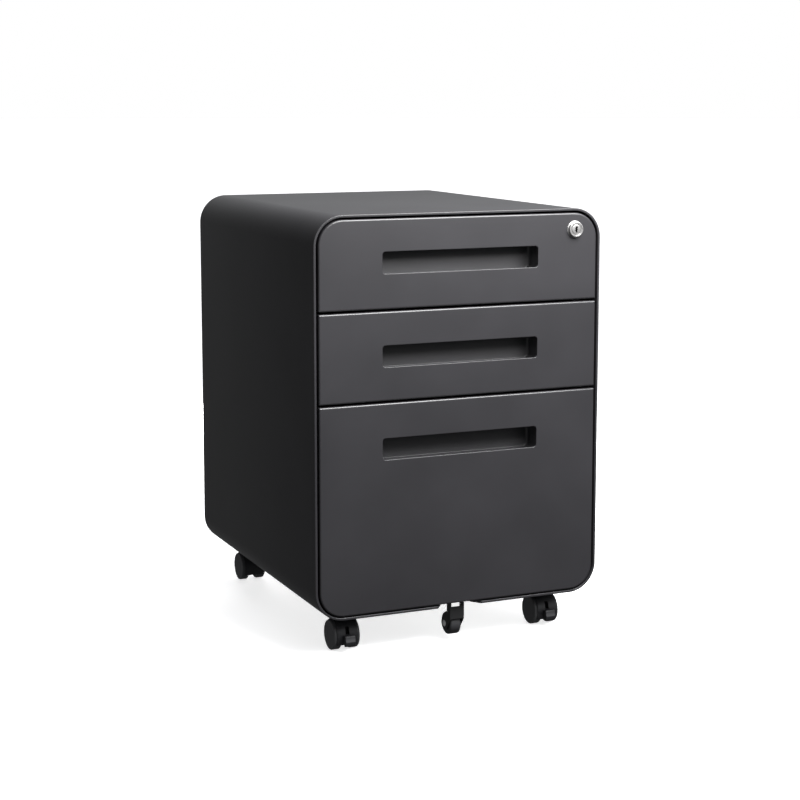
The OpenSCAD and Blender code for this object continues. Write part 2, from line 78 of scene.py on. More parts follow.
# ---------- Mesh helpers ----------
def new_object(name, bm, smooth_angle=35):
    """Puts a bmesh into the scene as one object, smooth but for its sharp edges."""
    bmesh.ops.remove_doubles(bm, verts=bm.verts, dist=1e-7)
    bmesh.ops.recalc_face_normals(bm, faces=bm.faces)
    mesh = bpy.data.meshes.new(name)
    bm.to_mesh(mesh)
    bm.free()
    obj = bpy.data.objects.new(name, mesh)
    bpy.context.scene.collection.objects.link(obj)
    mesh.shade_smooth()
    mesh.set_sharp_from_angle(angle=math.radians(smooth_angle))
    return obj


def rounded_loop(w, h, r_low, r_high, centre, y, segments=ARC):
    """Points of a rounded rectangle in X and Z at depth y, starting at the lower left corner."""
    tiny = 0.02 * MM
    corners = [
        (-1, -1, max(r_low, tiny), 180), (1, -1, max(r_low, tiny), 270),
        (1, 1, max(r_high, tiny), 0), (-1, 1, max(r_high, tiny), 90),
    ]
    points = []
    for sx, sz, r, start in corners:
        cx = centre[0] + sx * (w / 2 - r)
        cz = centre[1] + sz * (h / 2 - r)
        for k in range(segments + 1):
            a = math.radians(start + 90 * k / segments)
            points.append(Vector((cx + r * math.cos(a), y, cz + r * math.sin(a))))
    return points


def bridge_rings(bm, a, b):
    """Joins two rings of the same number of vertices with quads."""
    for k in range(len(a)):
        n = (k + 1) % len(a)
        bm.faces.new((a[k], a[n], b[n], b[k]))


def loft(name, loops, smooth_angle=35):
    """Skins a row of loops that have the same number of points, and joins its end to its start."""
    bm = bmesh.new()
    rings = [[bm.verts.new(p) for p in loop] for loop in loops]
    for a, b in zip(rings, rings[1:] + rings[:1]):
        bridge_rings(bm, a, b)
    return new_object(name, bm, smooth_angle)


def arc_points(cx, cy, r, start, end, steps):
    """Points of an arc in a profile, angles in degrees."""
    return [
        (cx + r * math.cos(math.radians(start + (end - start) * k / steps)),
         cy + r * math.sin(math.radians(start + (end - start) * k / steps)))
        for k in range(steps + 1)
    ]


def lathe(name, profile, centre, axis="X", segments=72, smooth_angle=35, closed=True):
    """Turns a profile of (along, radius) about an axis. A profile that starts on the axis isn't closed."""
    bm = bmesh.new()
    rings = []
    for along, radius in profile:
        ring = []
        for k in range(segments):
            a = 2 * math.pi * k / segments
            c, s = radius * math.cos(a), radius * math.sin(a)
            offset = {"X": (along, c, s), "Y": (c, along, s), "Z": (c, s, along)}[axis]
            ring.append(bm.verts.new(Vector(centre) + Vector(offset)))
        rings.append(ring)
    pairs = list(zip(rings, rings[1:]))
    if closed:
        pairs.append((rings[-1], rings[0]))
    for a, b in pairs:
        bridge_rings(bm, a, b)
    return new_object(name, bm, smooth_angle)


def prism(name, outline, plane, start, depth):
    """Extrudes an outline. plane "YZ" runs along X, "XZ" along Y and "XY" along Z."""
    place = {
        "YZ": lambda u, v, d: (d, u, v),
        "XZ": lambda u, v, d: (u, d, v),
        "XY": lambda u, v, d: (u, v, d),
    }[plane]
    bm = bmesh.new()
    low = [bm.verts.new(place(u, v, start)) for u, v in outline]
    high = [bm.verts.new(place(u, v, start + depth)) for u, v in outline]
    bridge_rings(bm, low, high)
    bm.faces.new(low)
    bm.faces.new(high)
    return new_object(name, bm)


def add_bevel(obj, width, segments=3, angle=32):
    """Rounds an object's sharp edges, with normals that keep its flats flat."""
    mod = obj.modifiers.new("edge_rounding", "BEVEL")
    mod.width = width
    mod.segments = segments
    mod.limit_method = "ANGLE"
    mod.angle_limit = math.radians(angle)
    mod.harden_normals = True
    mod.miter_outer = "MITER_ARC"
    return obj


def apply_modifiers(obj):
    """Replaces the object's mesh with the result of its modifiers."""
    graph = bpy.context.evaluated_depsgraph_get()
    mesh = bpy.data.meshes.new_from_object(obj.evaluated_get(graph))
    obj.modifiers.clear()
    obj.data = mesh
    return obj


def cut(obj, tool):
    """Takes the tool's solid out of the object."""
    mod = obj.modifiers.new("cut", "BOOLEAN")
    mod.operation = "DIFFERENCE"
    mod.solver = "EXACT"
    mod.object = tool
    apply_modifiers(obj)
    bpy.data.objects.remove(tool)
    obj.data.set_sharp_from_angle(angle=math.radians(35))
    return obj


def unite(name, parts):
    """Makes one solid of several that overlap."""
    whole = parts[0]
    for part in parts[1:]:
        mod = whole.modifiers.new("unite", "BOOLEAN")
        mod.operation = "UNION"
        mod.solver = "EXACT"
        mod.object = part
        apply_modifiers(whole)
        bpy.data.objects.remove(part)
    whole.name = name
    whole.data.set_sharp_from_angle(angle=math.radians(35))
    return whole


def copy_to(obj, name, shift):
    """A copy of an object with its mesh moved by shift."""
    mesh = obj.data.copy()
    mesh.transform(Matrix.Translation(shift))
    twin = bpy.data.objects.new(name, mesh)
    bpy.context.scene.collection.objects.link(twin)
    return twin


def join(name, objects):
    """Makes several objects one, with their modifiers applied."""
    for o in objects:
        if o.modifiers:
            apply_modifiers(o)
    bm = bmesh.new()
    for o in objects:
        bm.from_mesh(o.data)
    mesh = bpy.data.meshes.new(name)
    bm.to_mesh(mesh)
    bm.free()
    for o in objects:
        bpy.data.objects.remove(o)
    obj = bpy.data.objects.new(name, mesh)
    bpy.context.scene.collection.objects.link(obj)
    return obj


# ---------- Materials ----------
def coat(name, color, rough, bump_size, bump_depth, metallic=0.0, tint=0.12, wear_and_highlight=0.0, streak=None):
    """A finish with fine grain, slow colour drift, uneven gloss and lighter edges, partly wear and partly a
    painted highlight.
    """
    mat = bpy.data.materials.new(name)
    mat.use_nodes = True
    tree = mat.node_tree
    nodes, links = tree.nodes, tree.links
    shader = nodes["Principled BSDF"]
    shader.inputs["Metallic"].default_value = metallic
    coords = nodes.new("ShaderNodeTexCoord")
    source = coords.outputs["Object"]
    if streak:
        stretch = nodes.new("ShaderNodeMapping")
        stretch.inputs["Scale"].default_value = streak
        links.new(source, stretch.inputs["Vector"])
        source = stretch.outputs["Vector"]

    drift = nodes.new("ShaderNodeTexNoise")
    drift.inputs["Scale"].default_value = 9.0
    drift.inputs["Detail"].default_value = 3.0
    links.new(coords.outputs["Object"], drift.inputs["Vector"])
    ramp = nodes.new("ShaderNodeValToRGB")
    ramp.color_ramp.elements[0].position = 0.3
    ramp.color_ramp.elements[1].position = 0.7
    ramp.color_ramp.elements[0].color = (*[c * (1 - tint) for c in color], 1)
    ramp.color_ramp.elements[1].color = (*[min(c * (1 + tint), 1) for c in color], 1)
    links.new(drift.outputs["Fac"], ramp.inputs["Fac"])
    base = ramp.outputs["Color"]

    grain = nodes.new("ShaderNodeTexNoise")
    grain.inputs["Scale"].default_value = 1.0 / bump_size
    grain.inputs["Detail"].default_value = 2.0
    links.new(source, grain.inputs["Vector"])

    # Lighter colour within 0.7 mm of rounded edges: partly wear, partly a painted highlight along the
    # edges.
    if wear_and_highlight:
        geometry = nodes.new("ShaderNodeNewGeometry")
        rounded = nodes.new("ShaderNodeBevel")
        rounded.samples = 4
        rounded.inputs["Radius"].default_value = 0.7 * MM
        turn = nodes.new("ShaderNodeVectorMath")
        turn.operation = "DOT_PRODUCT"
        links.new(rounded.outputs["Normal"], turn.inputs[0])
        links.new(geometry.outputs["Normal"], turn.inputs[1])
        edge = nodes.new("ShaderNodeMapRange")
        edge.inputs["From Min"].default_value = 0.995
        edge.inputs["From Max"].default_value = 0.90
        edge.inputs["To Max"].default_value = wear_and_highlight
        links.new(turn.outputs["Value"], edge.inputs["Value"])
        mix = nodes.new("ShaderNodeMix")
        mix.data_type = "RGBA"
        mix.inputs["B"].default_value = (*[min(c * 2.2 + 0.02, 1) for c in color], 1)
        links.new(edge.outputs["Result"], mix.inputs["Factor"])
        links.new(base, mix.inputs["A"])
        base = mix.outputs["Result"]
    links.new(base, shader.inputs["Base Color"])

    gloss = nodes.new("ShaderNodeMapRange")
    gloss.inputs["To Min"].default_value = rough[0]
    gloss.inputs["To Max"].default_value = rough[1]
    links.new(grain.outputs["Fac"], gloss.inputs["Value"])
    links.new(gloss.outputs["Result"], shader.inputs["Roughness"])

    bump = nodes.new("ShaderNodeBump")
    bump.inputs["Strength"].default_value = 0.6
    bump.inputs["Distance"].default_value = bump_depth
    links.new(grain.outputs["Fac"], bump.inputs["Height"])
    links.new(bump.outputs["Normal"], shader.inputs["Normal"])
    return mat


POWDER = coat("charcoal_powder_coat", (0.019, 0.0185, 0.0205), (0.30, 0.40), 0.9 * MM, 0.012 * MM)
# Painted light: the cups carry the same charcoal paint made lighter, standing in for light that doesn't
# reach deep into the recess.
CUP_COAT_PAINTED_LIGHT = coat("charcoal_coat_painted_lighter_in_cup", (0.027, 0.0265, 0.0285), (0.38, 0.48), 0.9 * MM, 0.012 * MM)
POWDER_IN = coat("charcoal_inner_coat", (0.030, 0.029, 0.031), (0.46, 0.58), 0.9 * MM, 0.012 * MM)
BLACK_STEEL = coat("black_coated_steel", (0.007, 0.007, 0.0075), (0.42, 0.54), 0.7 * MM, 0.01 * MM,
                   wear_and_highlight=0.5)
PLASTIC = coat("moulded_black_nylon", (0.018, 0.018, 0.020), (0.46, 0.60), 0.35 * MM, 0.012 * MM, wear_and_highlight=0.1)
WHEEL = coat("wheel_black_nylon", (0.060, 0.060, 0.063), (0.38, 0.50), 0.5 * MM, 0.01 * MM, wear_and_highlight=0.5)
TREAD = coat("roller_black_nylon", (0.022, 0.022, 0.024), (0.38, 0.50), 0.5 * MM, 0.01 * MM, wear_and_highlight=0.2)
ZINC = coat("zinc_plated_steel", (0.60, 0.61, 0.63), (0.24, 0.42), 0.5 * MM, 0.004 * MM, metallic=1.0,
            streak=(1, 0.06, 1))
BRIGHT = coat("polished_rivet_steel", (0.88, 0.88, 0.88), (0.30, 0.40), 0.6 * MM, 0.003 * MM, metallic=0.6)
NICKEL = coat("satin_nickel", (0.40, 0.395, 0.39), (0.30, 0.40), 0.8 * MM, 0.002 * MM, metallic=0.9,
              tint=0.02)
# Painted shade: near-black for the inside of the keyway, where the narrow slot is in shade.
KEYWAY_SHADE = coat("keyway_painted_shade", (0.010, 0.010, 0.010), (0.5, 0.7), 0.4 * MM, 0.01 * MM)


def paint(obj, mat):
    """Gives an object one material."""
    obj.data.materials.clear()
    obj.data.materials.append(mat)
    return obj


def put(obj, body, mat, slot, *replaced):
    """Gives a piece its material and body, and hides the CAD nodes that it stands for. The slot argument is
    not used.
    """
    paint(obj, mat)
    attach(obj, body)
    if replaced:
        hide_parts(*replaced)
    return obj


def carry(node, mat):
    """Finishes a CAD node that is shown as it is: flats joined up, edges eased, material set."""
    obj = paint(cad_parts[node], mat)
    flats = obj.modifiers.new("join_flats", "DECIMATE")
    flats.decimate_type = "DISSOLVE"
    flats.angle_limit = math.radians(1)
    add_bevel(obj, 0.25 * MM, 2)


# ---------- Shell ----------
def make_shell():
    """The sleeve: one closed profile of (inset, y) swept round the rounded rectangle."""
    edge = 0.7 * MM
    lip = 0.4 * MM
    profile = arc_points(edge, RIM_Y + edge, edge, 180, 270, 6)
    profile += arc_points(RIM_W - lip, RIM_Y + lip, lip, 270, 360, 4)
    profile += [(RIM_W, RIM_Y + RIM_FOLD), (RIM_W - SHEET, RIM_Y + RIM_FOLD)]
    profile += [(RIM_W - SHEET, RIM_Y + SHEET), (SHEET, RIM_Y + SHEET)]
    profile += [(SHEET, BACK_Y)] + arc_points(lip, BACK_Y - lip, lip, 90, 180, 3)
    centre = (0.0, BASE_Z + SHELL_H / 2)
    loops = []
    for inset, y in profile:
        r = CORNER_R - inset
        loops.append(rounded_loop(SHELL_W - 2 * inset, SHELL_H - 2 * inset, r, r, centre, y, 20))
    shell = loft("shell_sleeve", loops)
    fold_y = RIM_Y + RIM_FOLD + 1 * MM
    half = [(NOTCH_HALF, RIM_Y - 1 * MM), (NOTCH_NECK, fold_y), (NOTCH_NECK, RIM_Y + NOTCH_D)]
    outline = half + [(-x, y) for x, y in reversed(half)]
    tool = prism("notch_tool", outline, "XY", BASE_Z - 2 * MM, 2 * MM + RIM_W + 2 * MM)
    cut(shell, tool)
    return put(shell, "cabinet", POWDER, "powder_coat", "outer_shell")


# ---------- Drawer fronts and handle cups ----------
def handle_centre(drawer):
    """The middle of a drawer's handle opening, in X and Z."""
    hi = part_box(f"{drawer}_front")[1]
    return (0.0, hi.z - HANDLE_DROP[drawer] - HANDLE_H / 2)


def make_front(drawer, r_low, r_high):
    """A folded sheet pan with eased edges and a turned-in lip round its handle opening."""
    lo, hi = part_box(f"{drawer}_front")
    w, h = hi.x - lo.x, hi.z - lo.z
    centre = (0.0, (lo.z + hi.z) / 2)
    hole = handle_centre(drawer)
    y0, y1 = lo.y, hi.y
    ease = 2.0 * MM
    roll = 0.5 * MM
    flat = 0.8 * MM
    lip_depth = 3.4 * MM

    def outer(inset, y):
        return rounded_loop(w - 2 * inset, h - 2 * inset, r_low - inset, r_high - inset, centre, y)

    def inner(grow, y):
        r = HANDLE_R + grow
        return rounded_loop(HANDLE_W + 2 * grow, HANDLE_H + 2 * grow, r, r, hole, y)

    loops = [outer(0, y1)]
    loops += [outer(i, y) for i, y in arc_points(ease, y0 + ease, ease, 180, 270, 6)]
    loops += [outer(ease + flat, y0), inner(roll + flat, y0)]
    loops += [inner(roll - g, y) for g, y in arc_points(0, y0 + roll, roll, 270, 360, 6)]
    loops += [inner(0, y0 + lip_depth), inner(SHEET, y0 + lip_depth), inner(SHEET, y0 + SHEET)]
    loops += [outer(SHEET, y0 + SHEET), outer(SHEET, y1)]
    return loft(f"{drawer}_drawer_front", loops, smooth_angle=30)


def make_cup(drawer):
    """The finger recess: a moulded cup with filleted ends and a flange behind the drawer front."""
    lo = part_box(f"{drawer}_front")[0]
    cx, cz = handle_centre(drawer)
    gap = 1.1 * MM
    skin = lo.y + SHEET
    back = skin + CUP_DEPTH - 1.6 * MM
    fillet = 3.5 * MM
    squash = 0.4               # the fillet's height at the top and bottom, against its width at the ends
    wall = 1.4 * MM
    flange, flange_t, seat_gap = 6 * MM, 1.2 * MM, 0.05 * MM
    w = HANDLE_W + 2 * gap
    h = HANDLE_H + CUP_DROP + CUP_UNDERCUT + 2 * gap
    centre = (cx, cz + (CUP_UNDERCUT - CUP_DROP) / 2)

    def ring(shrink, y):
        rise = shrink * squash if shrink > 0 else shrink
        r = max(HANDLE_R + gap, 6 * MM - shrink * 0.4)
        return rounded_loop(w - 2 * shrink, h - 2 * rise, r, r, centre, y)

    loops = [ring(-flange, skin + flange_t), ring(-flange, skin + seat_gap)]
    loops += [ring(-0.4 * MM, skin + seat_gap), ring(0, skin + flange_t / 2)]
    loops += [ring(fillet - s, y) for s, y in arc_points(0, back - fillet, fillet, 0, 90, 12)]
    inside = len(loops)
    outside = [ring(fillet - s - wall, y + wall) for s, y in arc_points(0, back - fillet, fillet, 90, 0, 8)]
    outside += [ring(-wall, skin + flange_t)]
    bm = bmesh.new()
    rings = [[bm.verts.new(p) for p in loop] for loop in loops + outside]
    for i in range(len(rings)):
        if i != inside - 1:
            bridge_rings(bm, rings[i], rings[(i + 1) % len(rings)])
    bm.faces.new(rings[inside - 1])
    bm.faces.new(rings[inside])
    return new_object(f"{drawer}_finger_cup", bm, 30)


def make_drawers():
    """Each drawer's front, finger cup, screws and ball cages."""
    big, small = CORNER_R - 6 * MM, 1 * MM
    hole_r, room, slot_h = 9.1 * MM, 0.5 * MM, 6.4 * MM
    for drawer, r_low, r_high in (("top", small, big), ("middle", small, small), ("file", big, small)):
        front = make_front(drawer, r_low, r_high)
        if drawer == "top":
            hole = [(LOCK_X + x, LOCK_Z + z) for x, z in arc_points(0, 0, hole_r, 0, 352.5, 47)]
            cut(front, prism("lock_hole", hole, "XZ", RIM_Y - 5 * MM, 10 * MM))
        if drawer == "file":
            half, y0, y1 = FORK_W / 2 + room, RIM_Y + 7.5 * MM, RIM_Y + 21 * MM
            slot = [(-half, y0), (half, y0), (half, y1), (-half, y1)]
            cut(front, prism("fork_slot", slot, "XY", BASE_Z - room, slot_h + room))
        put(front, f"{drawer}_drawer", POWDER, "powder_coat", f"{drawer}_front")
        put(make_cup(drawer), f"{drawer}_drawer", CUP_COAT_PAINTED_LIGHT, "powder_coat", f"{drawer}_handle_cup")
        put(make_screws(drawer), f"{drawer}_drawer", ZINC, "zinc_steel", f"{drawer}_screws")
        put(make_ball_cages(drawer), f"{drawer}_slide", ZINC, "zinc_steel")


def make_screws(drawer):
    """Four pan-head screws with cross recesses, through the tray's flanges."""
    lo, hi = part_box(f"{drawer}_screws")
    head_r, head_t, shank_r = 3.6 * MM, 2.0 * MM, 2.0 * MM
    profile = [(lo.y, 0), (lo.y, shank_r * 0.7), (lo.y + 1 * MM, shank_r), (hi.y - head_t, shank_r)]
    profile += [(hi.y - head_t, head_r)]
    profile += arc_points(hi.y - 1.2 * MM, head_r - 1.2 * MM, 1.2 * MM, 90, 0, 5)
    profile += [(hi.y, 0)]
    screw = lathe("screw", profile, (0, 0, 0), "Y", 32, closed=False)
    arm, half = 2.0 * MM, 0.4 * MM
    cross = [(-arm, -half), (-half, -half), (-half, -arm), (half, -arm), (half, -half), (arm, -half),
             (arm, half), (half, half), (half, arm), (-half, arm), (-half, half), (-arm, half)]
    cut(screw, prism("cross", cross, "XZ", hi.y - 1.1 * MM, 2 * MM))
    places = [(x, 0, z) for x in (lo.x + head_r, hi.x - head_r) for z in (lo.z + head_r, hi.z - head_r)]
    screws = [copy_to(screw, "screw_copy", place) for place in places]
    bpy.data.objects.remove(screw)
    return join(f"{drawer}_tray_screws", screws)


def make_ball_cages(drawer):
    """Strips of steel balls in the gaps between a slide's three members."""
    lo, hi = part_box(f"{drawer}_slide_intermediate")
    middle = (lo.z + hi.z) / 2
    mount_x = hi.x + 2.4 * MM
    ball_r, pitch, count = 1.4 * MM, 12 * MM, 12
    strip_t, strip_w = 0.5 * MM, 4.4 * MM
    bm = bmesh.new()
    outer_gap = (6.4 * MM, 14.75 * MM, RIM_Y + 250 * MM)
    inner_gap = (8.0 * MM, 10.45 * MM, RIM_Y + 62 * MM)
    for depth, rise, y0 in (outer_gap, inner_gap):
        for side in (-1, 1):
            for up in (-1, 1):
                x, z = side * (mount_x - depth), middle + up * rise
                for k in range(count):
                    place = Matrix.Translation((x, y0 + (k + 0.5) * pitch, z))
                    bmesh.ops.create_icosphere(bm, subdivisions=2, radius=ball_r, matrix=place)
                size = Matrix.Diagonal((strip_w, count * pitch, strip_t, 1))
                place = Matrix.Translation((x, y0 + count * pitch / 2, z))
                bmesh.ops.create_cube(bm, size=1, matrix=place @ size)
    return new_object(f"{drawer}_ball_cages", bm)


def make_back_panel():
    """A flanged panel with a shallow pressed field."""
    lo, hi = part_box("back_panel")
    centre = (0.0, BASE_Z + SHELL_H / 2)
    edge = lo.x - SHELL_LO.x
    face = hi.y
    field, slope, press, bend = 34 * MM, 5 * MM, 1.5 * MM, 1.5 * MM

    def ring(inset, y):
        r = max(CORNER_R - inset, 12 * MM)
        return rounded_loop(SHELL_W - 2 * inset, SHELL_H - 2 * inset, r, r, centre, y, 12)

    def behind(inset, y):
        if y > face - bend - press:
            return (max(inset + SHEET * 0.9, edge + SHEET), y - SHEET)
        return (inset + SHEET, y)

    outer = [(edge, lo.y)] + arc_points(edge + bend, face - bend, bend, 180, 90, 5)
    outer += [(field, face), (field + slope * 0.3, face - press * 0.2)]
    outer += [(field + slope * 0.7, face - press * 0.8), (field + slope, face - press)]
    outer += [(field + slope + 1 * MM, face - press)]
    inner = [behind(i, y) for i, y in outer]
    bm = bmesh.new()
    rings = [[bm.verts.new(p) for p in ring(i, y)] for i, y in outer]
    back = [[bm.verts.new(p) for p in ring(i, y)] for i, y in inner]
    strips = list(zip(rings, rings[1:])) + list(zip(back[1:], back)) + [(back[0], rings[0])]
    for a, b in strips:
        bridge_rings(bm, a, b)
    bm.faces.new(rings[-1])
    bm.faces.new(back[-1])
    return new_object("back_panel_pressed", bm, 30)


# ---------- Lock ----------
def make_lock():
    """Stepped nickel housing and a plug with a zig-zag keyway."""
    lo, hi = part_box("lock_housing")
    face, back = lo.y, hi.y
    centre = (LOCK_X, 0, LOCK_Z)
    flange_y = face + 3.9 * MM
    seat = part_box("top_front")[0].y
    rim, face_r, bore, barrel = 11.0 * MM, 9.8 * MM, 6.35 * MM, 9.0 * MM
    step, face_ease, rim_ease = 0.5 * MM, 0.9 * MM, 0.7 * MM
    profile = [(back, bore), (face + 1.3 * MM, bore), (face + step, bore + step)]
    profile += [(face + step, bore + 1.3 * MM), (face, bore + 1.8 * MM)]
    profile += arc_points(face + face_ease, face_r - face_ease, face_ease, 180, 90, 6)
    profile += [(flange_y, face_r)]
    profile += arc_points(flange_y + rim_ease, rim - rim_ease, rim_ease, 180, 90, 5)
    profile += [(seat, rim), (seat, barrel), (back, barrel)]
    housing = lathe("lock_face_and_barrel", profile, centre, "Y", 96, 25)
    put(housing, "top_drawer", NICKEL, "lock_chrome", "lock_housing")

    lo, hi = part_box("lock_plug")
    r = (hi.z - lo.z) / 2
    ease = 0.5 * MM
    profile = [(lo.y, 0)] + arc_points(lo.y + ease, r - ease, ease, 180, 90, 4) + [(hi.y, r), (hi.y, 0)]
    plug = lathe("lock_plug_turning", profile, centre, "Y", 72, 25, closed=False)
    left = [(-0.9, -3.5), (-0.9, -1.9), (-1.9, -1.0), (-1.0, 0.1), (-1.8, 1.2), (-0.8, 2.2), (-0.8, 3.5)]
    right = [(0.8, 3.5), (1.8, 2.4), (0.9, 1.3), (1.8, 0.2), (0.9, -0.9), (1.1, -2.0), (1.1, -3.5)]
    wide, tall, depth = 1.25 * MM, 1.1 * MM, 8 * MM
    keyway = [(LOCK_X + wide * x, LOCK_Z + tall * z) for x, z in left + right]
    cut(plug, prism("keyway", keyway, "XZ", lo.y - 1 * MM, depth + 1 * MM))
    put(plug, "lock_cylinder", NICKEL, "lock_chrome", "lock_plug")
    # Painted shade: faces inside the keyway take the near-black material, for the shade deep in the slot.
    plug.data.materials.append(KEYWAY_SHADE)
    for face in plug.data.polygons:
        c = face.center
        inside = math.hypot(c.x - LOCK_X, c.z - LOCK_Z) < 4.2 * MM
        if inside and lo.y + 0.1 * MM < c.y < lo.y + depth + 0.1 * MM:
            face.material_index = 1


# ---------- Casters ----------
def hood_and_web(braked):
    """A caster's housing about its axle: a curved hood over the wheels, a web between them and a collar."""
    hood_r, hood_in, hood_w, web_w = 20.6 * MM, 19.4 * MM, 27 * MM, 12.4 * MM
    low, rear, top = -10 * MM, 3 * MM, 24 * MM

    def sector(r):
        start = math.degrees(math.asin(rear / r))
        end = 180 + math.degrees(math.asin(-low / r))
        return arc_points(0, 0, r, start, end, 44)

    hood = prism("hood", sector(hood_r) + sector(hood_in)[::-1], "YZ", -hood_w / 2, hood_w)
    web_r = hood_in + 0.3 * MM
    half = math.degrees(math.asin(-low / web_r))
    bridge = TRAIL + 6 * MM
    outline = arc_points(0, 0, web_r, -half, math.degrees(math.asin(2 * MM / web_r)), 6)
    outline += [(bridge, 2 * MM), (bridge, top - 5 * MM), (5 * MM, top - 5 * MM)]
    outline += arc_points(0, 0, web_r, 78, 180 + half, 24)
    web = prism("web", outline, "YZ", -web_w / 2, web_w)
    collar_r, stem_r = 8.5 * MM, 4.05 * MM
    profile = [(15.5 * MM, web_w / 2), (hood_r - 0.3 * MM, web_w / 2), (hood_r - 0.3 * MM, collar_r)]
    profile += arc_points(top - 0.8 * MM, collar_r - 0.8 * MM, 0.8 * MM, 90, 0, 4)
    profile += [(top, stem_r), (15.5 * MM, stem_r)]
    collar = lathe("collar", profile, (0, TRAIL, 0), "Z", 48)
    housing = unite("housing", [hood, web, collar])
    bore = [(x, TRAIL + y) for x, y in arc_points(0, 0, stem_r, 0, 345, 23)]
    cut(housing, prism("stem_bore", bore, "XY", 2 * MM, top))
    if braked:
        y0, y1, z0, z1, slot_w = -21.6 * MM, -10.6 * MM, -9 * MM, 13 * MM, 5.2 * MM
        slot = [(y0, z0), (y1, z0), (y1, z1), (y0, z1)]
        cut(housing, prism("pedal_slot", slot, "YZ", -slot_w / 2, slot_w))
    add_bevel(housing, 0.3 * MM, 2)
    return apply_modifiers(housing)


def caster_wheel(name, node, outward):
    """A moulded wheel: a plain dished disc outside, a hollow and hub inside."""
    lo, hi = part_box(node)
    r = (hi.z - lo.z) / 2
    half = (hi.x - lo.x) / 2
    edge, dish, bore = 1.3 * MM, 0.45 * MM, 2.55 * MM
    profile = [(half - 2 * MM, 0), (half - 2 * MM, bore), (-half, bore), (-half, bore + 3 * MM)]
    profile += [(-half + 2.5 * MM, bore + 3.4 * MM), (-half + 2.5 * MM, r - 5 * MM), (-half, r - 4.4 * MM)]
    profile += arc_points(-half + edge, r - edge, edge, 180, 90, 5)
    profile += arc_points(half - edge, r - edge, edge, 90, 0, 5)
    profile += [(half, r - 1.9 * MM), (half - dish, r - 2.5 * MM), (half - dish * 0.6, r - 8 * MM)]
    profile += [(half - dish * 0.4, 0)]
    turned = [(outward * along, radius) for along, radius in profile]
    return lathe(name, turned, (lo + hi) / 2, "X", 96, 25, closed=False)


def brake_pedal(name, node):
    """A foot pedal with a ridge across its face, on a thin link that turns in the hood's slot."""
    lo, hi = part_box(node)
    half_w = (hi.x - lo.x) / 2
    x = (lo.x + hi.x) / 2
    front, top, low = lo.y, hi.z, lo.z

    def at(dy, z):
        return (front + dy * MM, z)

    high = low + 14 * MM
    face = [at(9, high), at(2.4, high), at(1.7, high - 0.8 * MM), at(1.1, high - 4.4 * MM)]
    face += [at(0.3, high - 6.2 * MM), at(0, high - 7.4 * MM), at(0.3, high - 8.6 * MM)]
    face += [at(1.1, high - 10.0 * MM), at(1.6, low + 2.6 * MM), at(2.6, low + 0.9 * MM), at(4.2, low)]
    face += [at(6.2, low), at(7.2, low + 2.2 * MM), at(9, low + 4 * MM)]
    foot = prism("foot", face, "YZ", x - half_w, 2 * half_w)
    pivot_y, pivot_z = front + 14 * MM, low + 11 * MM
    eye_r, arm_w, pin_r, pin_w = 3 * MM, 4.4 * MM, 1.5 * MM, 11.8 * MM
    link = [(front + 8 * MM, pivot_z - eye_r), (pivot_y, pivot_z - eye_r)]
    link += arc_points(pivot_y, pivot_z, eye_r, -90, 90, 8)[1:]
    link += [(front + 8 * MM, pivot_z + eye_r)]
    arm = prism("arm", link, "YZ", x - arm_w / 2, arm_w)
    pin = prism("pin", arc_points(pivot_y, pivot_z, pin_r, 0, 337.5, 15), "YZ", x - pin_w / 2, pin_w)
    pedal = unite(name, [foot, arm, pin])
    add_bevel(pedal, 0.45 * MM, 3, 25)
    return apply_modifiers(pedal)


def make_casters():
    """Four casters: a hood and two wheels each, and a brake pedal on the front ones."""
    housings = {row: hood_and_web(row == "front") for row in ROWS}
    for row in ROWS:
        for side, sign in SIDES.items():
            caster = f"caster_{row}_{side}"
            lo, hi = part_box(f"{caster}_axle")
            axle = (lo + hi) / 2
            housing = copy_to(housings[row], f"{caster}_hood", axle)
            put(housing, caster, PLASTIC, "black_plastic", f"{caster}_housing")
            for place, outward in (("outer", sign), ("inner", -sign)):
                node = f"{caster}_wheel_{place}"
                wheel = caster_wheel(f"{caster}_{place}_twin", node, outward)
                put(wheel, node, WHEEL, "wheel_plastic", node)
            if row == "front":
                pedal = brake_pedal(f"{caster}_brake_pedal", f"{caster}_pedal")
                put(pedal, f"{caster}_pedal", PLASTIC, "black_plastic", f"{caster}_pedal")
    for housing in housings.values():
        bpy.data.objects.remove(housing)


